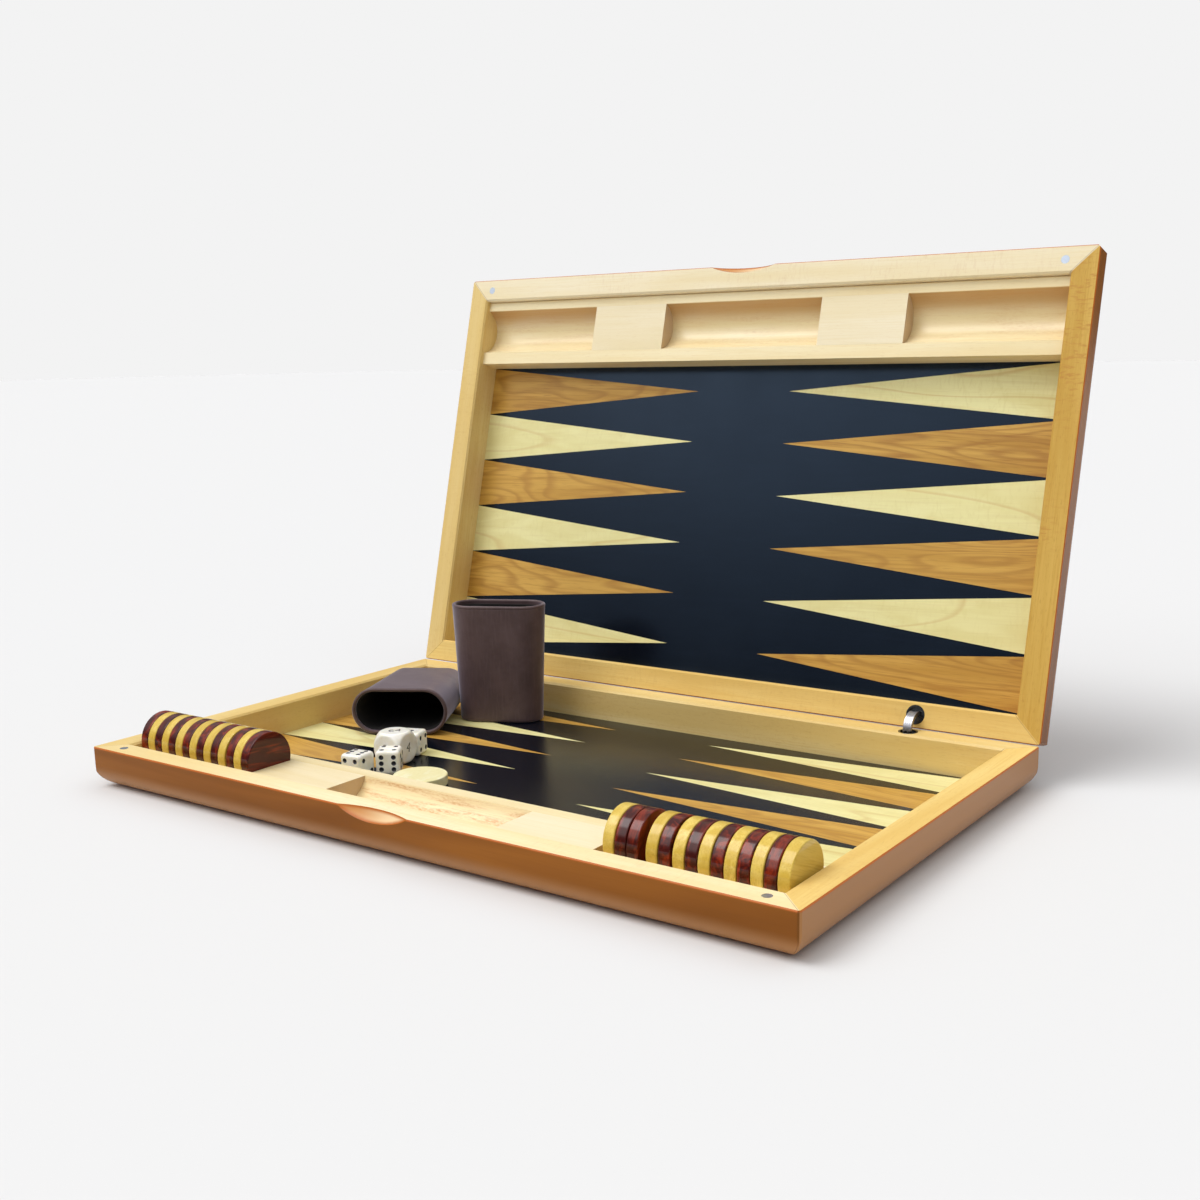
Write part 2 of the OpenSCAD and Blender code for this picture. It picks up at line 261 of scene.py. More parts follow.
def rail(name, half, axis, out, tone, seed, figure=0.0):
    """A mitred rail: clear beech inside and on the rim, stained on its outer faces, where a painted
    reflection lightens the stain.
    """
    s = Shader(name)
    p, n = half_coords(s, half), half_normal(s, half)
    colour, lines, flecks = beech_colour(s, p, axis, tone, seed)
    if figure:
        colour = s.mix(curl(s, p, axis, figure), colour, srgb(190, 132, 66))
    facing = s.vector("DOT_PRODUCT", n, out)
    under = s.math("MULTIPLY", s.split(n)[2], -1.0)
    stained = s.ramp(s.math("MAXIMUM", facing, under), 0.12, 0.4)
    bands = s.noise(along(s, s.vector("ADD", p, (seed, 0, 0)), axis, 14), 46, 3, 0.5, 0.5)
    stain = s.mix(s.ramp(bands, 0.25, 0.75), STAIN["light"], STAIN["dark"])
    stain = s.mix(s.ramp(lines, 0.45, 0.8, 0.0, 0.22), stain, STAIN["dark"])
    height = s.split(p)[2]
    right_side_reflection = 0.9 if (half, out[0]) == ("tray", 1) else 0.0  # painted reflection: the tray's right side is lighter all over
    # Painted reflection: the stain turns lighter over the lower curved band, as if it mirrored the
    # bright floor.
    flat = s.ramp(under, 0.9, 0.99, 1.0, 0.0)
    painted_reflection = s.math("MULTIPLY", s.ramp(height, EDGE_BAND, 6 * MM, right_side_reflection, max(right_side_reflection, 0.75)), flat)
    stain = s.mix(painted_reflection, stain, srgb(184, 132, 82))
    arris = s.ramp(height, HALF_H - 1.3 * MM, HALF_H - 0.5 * MM)
    curved = s.ramp(under, 0.96, 0.99, 1.0, 0.0)
    foot = s.math("MULTIPLY", s.ramp(height, 1.6 * MM, 0.4 * MM), curved)
    stain = s.mix(s.math("MULTIPLY", s.math("MAXIMUM", arris, foot), 0.85), stain, STAIN["edge"])
    if (half, out[1]) == ("tray", -1):
        colour = deeper_left(s, p, colour)
    if out[1] < 0:
        stain = scoop_colour(s, p, stain, SCOOP_AT[half])
    colour = s.mix(stained, colour, stain)
    colour = s.mix(mitre_line(s, p), colour, srgb(120, 78, 34))
    s.set(Base_Color=colour, Specular_IOR_Level=0.13, Coat_Weight=0.03, Coat_Roughness=0.12)
    s.set(Roughness=s.ramp(stained, 0, 1, 0.42, 0.26, smooth=False))
    s.bump(s.math("ADD", lines, s.math("MULTIPLY", flecks, 0.6)), 0.02 * MM, 0.25)
    return s.material


def deeper_left(s, p, colour):
    """The front of the tray is a deeper honey towards its left end."""
    return s.mix(s.ramp(s.split(p)[0], -20 * MM, -200 * MM, 0.0, 0.5), colour, srgb(222, 190, 108))


SCOOP_AT = dict(tray=-6 * MM, lid=0.0)  # the scoops' middles, along the front rails
SCOOP_R = 12.5 * MM  # widest radius of the spindle that cuts a scoop
SCOOP_OUT = 7 * MM  # its axis stands this far off the front face
SCOOP_RISE = 3.9 * MM  # and this far above the rim
SCOOP_HALF = 25.5 * MM  # half its length on the front face


def scoop_colour(s, p, stain, middle):
    """The turned finger scoop: the stain is thin in its hollow and darker along its edge; painted
    highlight and shade grade the hollow along its length.
    """
    sag = SCOOP_R - math.hypot(SCOOP_OUT, SCOOP_RISE)
    arc = (SCOOP_HALF**2 + sag**2) / (2 * sag)
    x, y, z = s.split(p)[:3]
    x = s.math("SUBTRACT", x, middle)
    y = s.math("ADD", y, CASE_D / 2)
    off, above = s.math("ADD", y, SCOOP_OUT), s.math("SUBTRACT", z, HALF_H + SCOOP_RISE)
    from_axis = s.vector("LENGTH", s.join(0.0, off, above))
    left = s.math("SUBTRACT", arc**2, s.math("MULTIPLY", x, x), clamp=True)
    spindle = s.math("ADD", s.math("SQRT", left), SCOOP_R - arc)
    inside = s.ramp(s.math("SUBTRACT", from_axis, spindle), 0.35 * MM, 0.15 * MM)
    inside = s.math("MULTIPLY", inside, s.ramp(y, 0.05 * MM, 0.25 * MM))
    depth = s.math("MINIMUM", y, s.math("SUBTRACT", HALF_H, z))
    # Painted highlight and shade: the hollow goes from darker at its -x end to lighter at its +x
    # end, as the light falls in it.
    hollow = s.mix(s.ramp(x, -14 * MM, 14 * MM), srgb(204, 142, 82), srgb(240, 208, 162))
    colour = s.mix(s.ramp(depth, 0.3 * MM, 2.0 * MM), srgb(186, 104, 44), hollow)
    return s.mix(inside, stain, colour)


def mitre_line(s, p):
    """A hair-fine glue line along the corner mitres."""
    x, y, _ = s.split(p)[:3]
    to_side = s.math("SUBTRACT", CASE_W / 2, s.math("ABSOLUTE", x))
    to_front = s.math("SUBTRACT", CASE_D / 2, s.math("ABSOLUTE", y))
    off = s.math("ABSOLUTE", s.math("SUBTRACT", to_side, to_front))
    return s.ramp(off, 0.32 * MM, 0.12 * MM, 0.0, 0.55)


def plain_beech(name, half, tone, seed, rough=0.42, grain="x", flame=0.0):
    """Clear beech of the trough block and its fillers, with flecked bands in the groove and painted
    shade along its front side.
    """
    s = Shader(name)
    p = half_coords(s, half)
    colour, lines, flecks = beech_colour(s, p, grain, tone, seed)
    if half == "tray":
        colour = deeper_left(s, p, colour)
    if flame:
        depth = s.math("SUBTRACT", HALF_H, s.split(p)[2])
        inside = s.ramp(depth, RIM_STEP, 5.6 * MM)
        # Painted shade: inside the groove the wood darkens towards the front lip, as if in the
        # lip's shadow.
        y = s.split(p)[1]
        front = s.ramp(y, ROW_AXIS.y - 2 * MM, ROW_AXIS.y - 14 * MM, 0.0, 0.75)
        colour = s.mix(s.math("MULTIPLY", inside, front), colour, srgb(184, 128, 56))
        bands = s.noise(along(s, p, grain, 12), 210, 3, 0.6, 0.6)
        speckle = s.noise(along(s, p, grain, 3), 1100, 2, 0.6)
        share = s.math("MULTIPLY", s.ramp(bands, 0.42, 0.7), s.ramp(speckle, 0.35, 0.65, 0.35, 1.0))
        share = s.math("MULTIPLY", share, s.math("MULTIPLY", inside, flame))
        colour = s.mix(share, colour, srgb(196, 128, 62))
    end = s.math("ABSOLUTE", s.split(half_normal(s, half))[0])
    colour = s.mix(s.ramp(end, 0.7, 0.9, 0.0, 0.55), colour, srgb(170, 122, 70))
    s.set(Base_Color=colour, Roughness=rough, Specular_IOR_Level=0.45)
    s.bump(s.math("ADD", lines, s.math("MULTIPLY", flecks, 0.8)), 0.03 * MM, 0.4)
    return s.material


def stained_panel(name, half, seed):
    """The outer face of a half: a broad stained veneer, satin lacquered."""
    s = Shader(name)
    p = s.vector("ADD", half_coords(s, half), (seed, 0, 0))
    cathedral = s.noise(along(s, p, "x", 6), 22, 4, 0.55, 1.2)
    lines = s.noise(along(s, p, "x", 40), 700, 2, 0.6)
    colour = s.mix(s.ramp(cathedral, 0.3, 0.7), STAIN["light"], STAIN["dark"])
    colour = s.mix(s.ramp(lines, 0.42, 0.78, 0.0, 0.5), colour, STAIN["dark"])
    s.set(Base_Color=colour, Roughness=0.3, Specular_IOR_Level=0.45)
    s.bump(lines, 0.03 * MM, 0.3)
    return s.material


def per_point(s, p):
    """Shifts the grain for every inlaid point, as each is cut from its own strip."""
    x, y, z = s.split(p)[:3]
    row = s.math("FLOOR", s.math("DIVIDE", s.math("SUBTRACT", y, FIELD_FRONT), POINT_PITCH))
    key = s.math("ADD", s.math("MULTIPLY", row, 3.0), s.math("SIGN", x))
    jump = s.white_noise(key)
    slant = s.ramp(jump, 0, 1, -0.05, 0.07, smooth=False)
    y = s.math("ADD", y, s.math("MULTIPLY", x, slant))
    return s.join(s.math("ADD", x, jump), s.math("ADD", y, s.math("MULTIPLY", jump, 2.3)), z), jump


def ring_lines(s, p, scale, count, width):
    """Thin wandering lines along x, as growth rings cut at a shallow angle."""
    field = s.noise(along(s, p, "x", 7), scale, 1.5, 0.45, 0.3)
    saw = s.math("FRACT", s.math("MULTIPLY", field, count))
    return s.math("MULTIPLY", s.ramp(saw, 0.0, width), s.ramp(saw, 3 * width, width))


def cherry_points(name, half):
    """Cherry inlay: warm streaks along each point."""
    s = Shader(name)
    p, jump = per_point(s, half_coords(s, half))
    broad = s.noise(along(s, p, "x", 12), 75, 3, 0.6, 0.5)
    streaks = s.noise(along(s, p, "x", 34), 420, 3, 0.65, 0.3)
    colour = s.mix(s.ramp(broad, 0.28, 0.72), srgb(214, 170, 84), srgb(186, 140, 58))
    colour = s.mix(s.ramp(streaks, 0.46, 0.7, 0.0, 0.7), colour, srgb(168, 118, 44))
    rings = s.math("MULTIPLY", ring_lines(s, p, 34, 16, 0.2), 0.5)
    colour = s.mix(rings, colour, srgb(150, 98, 36))
    pores = s.noise(along(s, p, "x", 22), 1500, 1)
    colour = s.mix(s.ramp(pores, 0.58, 0.72, 0.0, 0.4), colour, srgb(142, 90, 38))
    colour = s.mix(s.ramp(jump, 0, 1, 0.0, 0.3, smooth=False), colour, srgb(216, 170, 82))
    s.set(Base_Color=colour, Roughness=0.36, Specular_IOR_Level=0.4)
    s.bump(streaks, 0.02 * MM, 0.3)
    return s.material


def maple_points(name, half):
    """Maple inlay: pale, with a faint rippled figure across soft grain."""
    s = Shader(name)
    p, jump = per_point(s, half_coords(s, half))
    broad = s.noise(along(s, p, "x", 5), 60, 3, 0.6, 1.4)
    ripple = s.noise(along(s, p, "y", 3), 210, 2, 0.6, 1.8)
    lines = s.noise(along(s, p, "x", 30), 600, 2, 0.6, 0.4)
    colour = s.mix(s.ramp(broad, 0.3, 0.7), srgb(238, 232, 172), srgb(226, 216, 148))
    colour = s.mix(s.ramp(ripple, 0.48, 0.72, 0.0, 0.3), colour, srgb(216, 204, 134))
    colour = s.mix(s.ramp(lines, 0.5, 0.78, 0.0, 0.28), colour, srgb(206, 188, 118))
    rings = s.math("MULTIPLY", ring_lines(s, p, 20, 7, 0.05), 0.4)
    colour = s.mix(rings, colour, srgb(198, 160, 84))
    colour = s.mix(s.ramp(jump, 0, 1, 0.0, 0.3, smooth=False), colour, srgb(238, 232, 176))
    s.set(Base_Color=colour, Roughness=0.36, Specular_IOR_Level=0.4)
    s.bump(lines, 0.02 * MM, 0.3)
    return s.material


def black_field(name, half):
    """Black satin lacquer over veneer, with a trace of grain and a slightly uneven sheen."""
    s = Shader(name)
    p = half_coords(s, half)
    grain = s.noise(along(s, p, "x", 30), 800, 2, 0.6)
    cloud = s.noise(p, 14, 3, 0.6)
    colour = s.mix(s.ramp(grain, 0.4, 0.8), (0.0015, 0.0025, 0.006, 1), (0.003, 0.005, 0.011, 1))
    s.set(Base_Color=colour, Roughness=s.ramp(cloud, 0.3, 0.7, 0.2, 0.26), Specular_IOR_Level=0.5)
    s.set(Specular_Tint=(0.45, 0.67, 1.0, 1.0))
    s.bump(grain, 0.01 * MM, 0.1)
    return s.material


# ---------------------------------------------------------------- other materials


def metal(name, colour, rough, scratch=0.3):
    """Plated metal with fine scratches along x and a little wear."""
    s = Shader(name)
    p = s.coords()
    marks = s.noise(along(s, p, "x", 12), 2600, 2, 0.6)
    wear = s.noise(p, 900, 3, 0.6)
    dulled = tuple(0.6 * c for c in colour[:3]) + (1,)
    s.set(
        Base_Color=s.mix(s.ramp(wear, 0.5, 0.8, 0.0, 0.25), colour, dulled),
        Metallic=1.0,
        Roughness=s.ramp(wear, 0.3, 0.8, rough, rough + 0.12),
    )
    s.bump(marks, 0.01 * MM, scratch)
    return s.material


def checker_wood(name, light, dark, deep, node, pitch, offset):
    """Lacquered turned wood: each checker, one pitch apart, has its own grain and tone."""
    s = Shader(name)
    x, y, z = s.split(s.coords())[:3]
    start = min(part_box(n)[0].x for n in (node, node.replace("light", "dark")))
    along_row = s.math("DIVIDE", s.math("SUBTRACT", x, start), pitch)
    place = s.math("FLOOR", s.math("ADD", along_row, offset))
    key = s.white_noise(s.math("ADD", place, 10 * offset + 30 * (start > 0)))
    spin = s.math("MULTIPLY", key, math.tau)
    centred = s.join(s.math("ADD", x, key), y, z)
    p = s.turn(centred, spin, axis="X_AXIS", center=(0, ROW_AXIS.y, ROW_AXIS.z))
    rings = s.noise(along(s, p, "y", 7), 150, 3, 0.6, 0.8)
    lines = s.noise(along(s, p, "y", 25), 1300, 2, 0.6)
    colour = s.mix(s.ramp(rings, 0.42, 0.66), dark, light)
    colour = s.mix(s.ramp(lines, 0.45, 0.75, 0.0, 0.5), colour, deep)
    colour = s.mix(s.math("MULTIPLY", key, 0.3), colour, deep)
    s.set(Base_Color=colour, Roughness=0.4, Specular_IOR_Level=0.1)
    s.set(Coat_Weight=0.6, Coat_Roughness=0.06)
    s.bump(lines, 0.012 * MM, 0.25)
    return s.material


def leather(name):
    """Smooth brown cup leather: fine pebble, faint vertical drag marks and rubbed high spots."""
    s = Shader(name)
    p = s.coords()
    drag = s.noise(along(s, p, "z", 9), 700, 3, 0.6)
    cloud = s.noise(p, 55, 4, 0.6)
    pebble = s.voronoi(p, 1500)
    colour = s.mix(s.ramp(cloud, 0.3, 0.7), srgb(92, 72, 73), srgb(80, 61, 62))
    colour = s.mix(s.ramp(drag, 0.45, 0.75, 0.0, 0.35), colour, srgb(104, 84, 86))
    s.set(Base_Color=colour, Roughness=s.ramp(cloud, 0.3, 0.7, 0.46, 0.58), Specular_IOR_Level=0.45)
    s.set(Sheen_Weight=0.8, Sheen_Roughness=0.35, Sheen_Tint=(0.8, 0.78, 1.0, 1.0))
    s.bump(s.math("ADD", pebble, s.math("MULTIPLY", drag, 0.7)), 0.05 * MM, 0.5)
    return s.material


def felt(name):
    """Black flock inside the cups."""
    s = Shader(name)
    p = s.coords()
    fuzz = s.noise(p, 2400, 3, 0.7)
    colour = s.mix(fuzz, (0.004, 0.0035, 0.0035, 1), (0.014, 0.011, 0.011, 1))
    s.set(Base_Color=colour, Roughness=0.95)
    s.bump(fuzz, 0.2 * MM, 0.6)
    return s.material


def ivory(name):
    """Ivory-coloured cast resin, a little deeper in tone where it is handled."""
    s = Shader(name)
    p = s.coords()
    cloud = s.noise(p, 160, 3, 0.6)
    s.set(Base_Color=s.mix(s.ramp(cloud, 0.35, 0.7), srgb(253, 251, 244), srgb(245, 240, 224)))
    s.set(Roughness=0.2, Specular_IOR_Level=0.5, Subsurface_Weight=0.15, Subsurface_Scale=2 * MM)
    s.set(Subsurface_Radius=(1.0, 0.8, 0.5), Coat_Weight=0.4, Coat_Roughness=0.08)
    s.bump(s.noise(p, 900, 2), 0.01 * MM, 0.2)
    return s.material


def pip_paint(name):
    """Blue-black paint in the dice's pips."""
    s = Shader(name)
    p = s.coords()
    cloud = s.noise(p, 1200, 2)
    s.set(Base_Color=s.mix(cloud, srgb(14, 16, 34), srgb(24, 26, 46)), Roughness=0.3)
    return s.material


def worn_ink(name):
    """Ink of the doubling cube's numbers, rubbed away in places."""
    s = Shader(name)
    wear = s.noise(s.coords(), 700, 3, 0.7)
    colour = s.mix(s.ramp(wear, 0.5, 0.62), srgb(40, 36, 44), srgb(206, 200, 184))
    s.set(Base_Color=colour, Roughness=0.35)
    return s.material


def waxed_thread(name):
    """Twisted brown thread of the cups' seams."""
    s = Shader(name)
    twist = s.noise(along(s, s.coords(), "z", 0.3), 900, 2)
    s.set(Base_Color=s.mix(twist, srgb(60, 46, 46), srgb(98, 80, 78)), Roughness=0.6)
    s.bump(twist, 0.05 * MM, 0.5)
    return s.material


# ---------------------------------------------------------------- pieces


def paint_node(node, material):
    """Puts a material in every slot of a CAD node."""
    slots = frame["nodes"][node].material_slots
    if not slots:
        frame["nodes"][node].data.materials.append(material)
    for slot in frame["nodes"][node].material_slots:
        slot.material = material


def new_object(name, mesh):
    o = bpy.data.objects.new(name, mesh)
    bpy.context.scene.collection.objects.link(o)
    return o


NICKEL = (0.5, 0.56, 0.66, 1)
# Painted shade: the barrels' plating is near black, standing in for the shade inside their open
# mouths.
SHADED_BARREL_CHROME = (0.12, 0.125, 0.135, 1)
LINK_CHROME = (0.4, 0.4, 0.43, 1)


def paint_case():
    """Materials of the two halves and their hinges."""
    rails = {
        "front": ("x", (0, -1, 0)),
        "back": ("x", (0, 1, 0)),
        "left": ("y", (-1, 0, 0)),
        "right": ("y", (1, 0, 0)),
    }
    # Tones per rail differ as boards do, and on the lid they are also painted light and shade: its
    # front rail is lighter as if lit, its back and right rails deeper as if in shade.
    tones = {
        "tray": dict(front=PALE, back=GOLD, left=GOLD, right=HONEY),
        "lid": dict(front=CREAM, back=HONEY, left=GOLD, right=SHADED_OCHRE),
    }
    for h, half in enumerate(("tray", "lid")):
        for i, (side, (axis, out)) in enumerate(rails.items()):
            figure = 0.7 if (half, side) == ("lid", "right") else 0.1
            seed = 1.7 * i + 5.1 * h
            tone = tones[half][side]
            material = rail(f"{half}_{side}_beech", half, axis, out, tone, seed, figure)
            paint_node(f"{half}_{side}_rail", material)
        paint_node(f"{half}_panel", stained_panel(f"{half}_panel_stain", half, 2.3 * h))
        paint_node(f"{half}_field_veneer", black_field(f"{half}_black_lacquer", half))
        paint_node(f"{half}_cherry_points", cherry_points(f"{half}_cherry", half))
        paint_node(f"{half}_maple_points", maple_points(f"{half}_maple", half))
        flame = dict(tray=0.8, lid=0.2)[half]
        block = plain_beech(f"{half}_trough_beech", half, PALE, 8.0 + h, 0.27, flame=flame)
        paint_node(f"{half}_trough", block)
        for side, seed in (("left", 11.0), ("right", 12.4)):
            block = plain_beech(f"{half}_{side}_filler_beech", half, CREAM, seed + h)
            paint_node(f"{half}_{side}_filler", block)
        paint_node(f"{half}_magnets", metal(f"{half}_nickel", NICKEL, 0.3))
        paint_node(f"{half}_hinge_barrels", metal(f"{half}_barrel_shaded_chrome", SHADED_BARREL_CHROME, 0.16))
    for node in ("hinge_links_lower", "hinge_links_upper"):
        paint_node(node, metal(f"{node}_chrome", LINK_CHROME, 0.3))


LEFT_PITCH = 12.84 * MM  # from one checker to the next of its colour
RIGHT_PITCH = 13.6 * MM


def paint_checkers():
    """Materials of the two rows and the loose checker. Tones are light, dark and deepest."""
    dark = (srgb(150, 46, 12), srgb(70, 12, 8), srgb(46, 6, 6))
    light = (srgb(232, 204, 104), srgb(216, 184, 78), srgb(188, 150, 50))
    for side, pitch, offset in (("left", LEFT_PITCH, -0.25), ("right", RIGHT_PITCH, 0.5)):
        for name, tones, shift in (("dark", dark, 0.01), ("light", light, offset)):
            node = f"{side}_{name}_checkers"
            paint_node(node, checker_wood(f"{side}_{name}_lacquer", *tones, node, pitch, shift))
    pale = (srgb(250, 247, 212), srgb(244, 236, 184), srgb(230, 215, 148))
    paint_node("loose_checker", checker_wood("loose_lacquer", *pale, "loose_checker", 1.0, 0.5))


# ---------------------------------------------------------------- pieces that replace nodes


CREASE = math.radians(40)  # a sharper edge than this isn't smoothed


def finish_piece(name, bm, materials, node, body, turn):
    """Makes a bmesh a smooth piece where its node lies: boxes share middles and bottom."""
    mesh = bpy.data.meshes.new(name)
    bm.normal_update()
    bm.to_mesh(mesh)
    bm.free()
    mesh.transform(turn)
    low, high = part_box(node)
    xs, ys, zs = zip(*(v.co for v in mesh.vertices))
    across = (low.x + high.x - min(xs) - max(xs)) / 2
    deep = (low.y + high.y - min(ys) - max(ys)) / 2
    shift = Vector((across, deep, low.z - min(zs)))
    mesh.transform(Matrix.Translation(shift))
    return attach(name, mesh, materials, body, [node]), shift


def attach(name, mesh, materials, body, nodes):
    """Makes a mesh a piece: smooth faces with sharp creases, its body and its nodes."""
    for material in materials:
        mesh.materials.append(material)
    for face in mesh.polygons:
        face.use_smooth = True
    mesh.set_sharp_from_angle(angle=CREASE)
    piece = new_object(name, mesh)
    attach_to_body(piece, body)
    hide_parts(*nodes)
    return piece


def rounded_block(side, edge, ball, cuts=19):
    """A cube with edges of radius "edge" whose corners are drawn in to a ball of radius "ball"."""
    bm = bmesh.new()
    bmesh.ops.create_cube(bm, size=2)
    bmesh.ops.subdivide_edges(bm, edges=bm.edges[:], cuts=cuts, use_grid_fill=True)
    half = side / 2
    soft = side * 0.03
    for v in bm.verts:
        p = Vector(math.sin(c * math.pi / 2) for c in v.co) * half
        core = Vector(max(-half + edge, min(half - edge, c)) for c in p)
        if (p - core).length > 1e-9:
            p = core + (p - core).normalized() * edge
        reach = p.length
        h = max(0.0, min(1.0, 0.5 + (ball - reach) / (2 * soft)))
        limited = ball + (reach - ball) * h - soft * h * (1 - h)
        v.co = p * (min(reach, limited) / reach)
    return bm


DIE_SIDE = 15 * MM
CUBE_SIDE = 20 * MM

FACES = (  # turns from +Z to each face: top, front, right, bottom, back, left
    Matrix(),
    Matrix.Rotation(math.pi / 2, 4, "X"),
    Matrix.Rotation(math.pi / 2, 4, "Y"),
    Matrix.Rotation(math.pi, 4, "X"),
    Matrix.Rotation(-math.pi / 2, 4, "X"),
    Matrix.Rotation(-math.pi / 2, 4, "Y"),
)


def pip_spots(number, side):
    """Where a die's face of this number has its pips."""
    p = side * 0.25
    spots = []
    if number % 2:
        spots.append((0, 0))
    if number > 1:
        spots += [(p, p), (-p, -p)]
    if number > 3:
        spots += [(p, -p), (-p, p)]
    if number == 6:
        spots += [(p, 0), (-p, 0)]
    return spots


def evaluated_mesh(o):
    """The object's mesh with its modifiers, or its curve, worked out."""
    bpy.context.view_layer.update()
    return bpy.data.meshes.new_from_object(o.evaluated_get(bpy.context.evaluated_depsgraph_get()))


def die(name, top, front, right, turn, materials):
    """A die with drilled and painted pips."""
    side = DIE_SIDE
    radius = side * 0.1
    body = bpy.data.meshes.new(f"{name}_body")
    bm = rounded_block(side, 2.1 * MM, side * 0.765)
    bm.to_mesh(body)
    bm.free()
    drills = bmesh.new()
    for number, face in zip((top, front, right, 7 - top, 7 - front, 7 - right), FACES):
        for x, y in pip_spots(number, side):
            at = face @ Matrix.Translation((x, y, side / 2 + radius * 0.5))
            bmesh.ops.create_icosphere(drills, subdivisions=3, radius=radius * 1.1, matrix=at)
    for f in drills.faces:
        f.material_index = 1
    drill_mesh = bpy.data.meshes.new(f"{name}_drills")
    drills.to_mesh(drill_mesh)
    drills.free()
    solid, cutter = new_object(f"{name}_solid", body), new_object(f"{name}_cutter", drill_mesh)
    for mesh in (body, drill_mesh):
        for material in materials:
            mesh.materials.append(material)
    cut = solid.modifiers.new("pips", "BOOLEAN")
    cut.operation, cut.solver, cut.object = "DIFFERENCE", "EXACT", cutter
    result = evaluated_mesh(solid)
    bm = bmesh.new()
    bm.from_mesh(result)
    for leftover in (solid, cutter):
        bpy.data.objects.remove(leftover)
    turned = Matrix.Rotation(turn, 4, "Z")
    finish_piece(f"{name}_piece", bm, materials, name, "dice", turned)


NUMERALS = ("64", "2", "4", "8", "16", "32")  # as FACES
NUMERAL_TURNS = (0.6, 0.0, 1.4, 0.0, 0.5, -1.2)


def numeral_mesh(text, size, depth):
    """A flat number in Blender's own plain face, about the origin."""
    curve = bpy.data.curves.new(f"numeral_{text}", "FONT")
    curve.body, curve.size, curve.extrude = text, size, depth
    curve.align_x, curve.align_y = "CENTER", "CENTER"
    curve.resolution_u = 4
    holder = new_object(f"numeral_{text}", curve)
    mesh = evaluated_mesh(holder)
    bpy.data.objects.remove(holder)
    return mesh


def doubling_cube(turn, materials):
    """The doubling cube: ball-rounded, with a small worn number on each face."""
    side = CUBE_SIDE
    bm = rounded_block(side, 1.6 * MM, side * 0.68, cuts=29)
    for text, face, spin in zip(NUMERALS, FACES, NUMERAL_TURNS):
        mesh = numeral_mesh(text, 8.5 * MM, 0.05 * MM)
        mesh.transform(face @ Matrix.Translation((0, 0, side / 2)) @ Matrix.Rotation(spin, 4, "Z"))
        first = len(bm.faces)
        bm.from_mesh(mesh)
        bm.faces.ensure_lookup_table()
        for f in bm.faces[first:]:
            f.material_index = 1
    turned = Matrix.Rotation(turn, 4, "Z")
    name = "doubling_cube"
    finish_piece(f"{name}_piece", bm, materials, name, "dice", turned)


# ---- leather cups

CUP_H = 81.5 * MM
CUP_FOOT = (58 * MM, 27.5 * MM)  # long and short width at the foot
CUP_MOUTH = (65 * MM, 31 * MM)  # and at the mouth
CUP_STRAIGHT = 28  # points along each flat side
CUP_ROUND = 22  # and round each end
STITCHES = 19  # in each of a seam's two rows
STITCH = Matrix.Diagonal((0.3 * MM, 0.22 * MM, 1.25 * MM, 1))


def cup_outline(z, inset, seam=0.0):
    """Points of the cup's oval at height z, drawn in by inset, with a lap on one flat side.

    seam is 1 or -1 for the side towards +Y or -Y that the lap is on, or 0 for none.
    """
    t = z / CUP_H
    long, short = (f + (m - f) * t for f, m in zip(CUP_FOOT, CUP_MOUTH))
    flat, r = (long - short) / 2, short / 2 - inset
    points = []
    for side in (-1, 1):
        for i in range(CUP_STRAIGHT):
            x = flat * (2 * i / CUP_STRAIGHT - 1)
            lap = 0.0
            if seam == side:
                edge = abs(x) - 3.2 * MM
                lap = 0.35 * MM * max(0.0, min(1.0, 0.5 - edge / (0.9 * MM)))
            points.append((-side * x, side * (r + lap), z))
        for i in range(CUP_ROUND):
            a = math.pi * i / CUP_ROUND
            points.append((-side * (flat + r * math.sin(a)), side * r * math.cos(a), z))
    return points


def loft(bm, profile, closed, seam=0.0):
    """Skins rings of the cup's oval: a closed profile is a wall, an open one is capped."""
    outlines = (cup_outline(z, inset, lap * seam) for z, inset, lap in profile)
    rings = [[bm.verts.new(p) for p in outline] for outline in outlines]
    pairs = list(zip(rings, rings[1:])) + ([(rings[-1], rings[0])] if closed else [])
    for a, b in pairs:
        for i in range(len(a)):
            j = (i + 1) % len(a)
            bm.faces.new((a[i], b[i], b[j], a[j]))
    if not closed:
        for ring, z in ((rings[0], profile[0][0]), (rings[-1], profile[-1][0])):
            middle = bm.verts.new((0, 0, z))
            for i in range(len(ring)):
                bm.faces.new((ring[i], ring[(i + 1) % len(ring)], middle))
    bmesh.ops.recalc_face_normals(bm, faces=bm.faces[:])


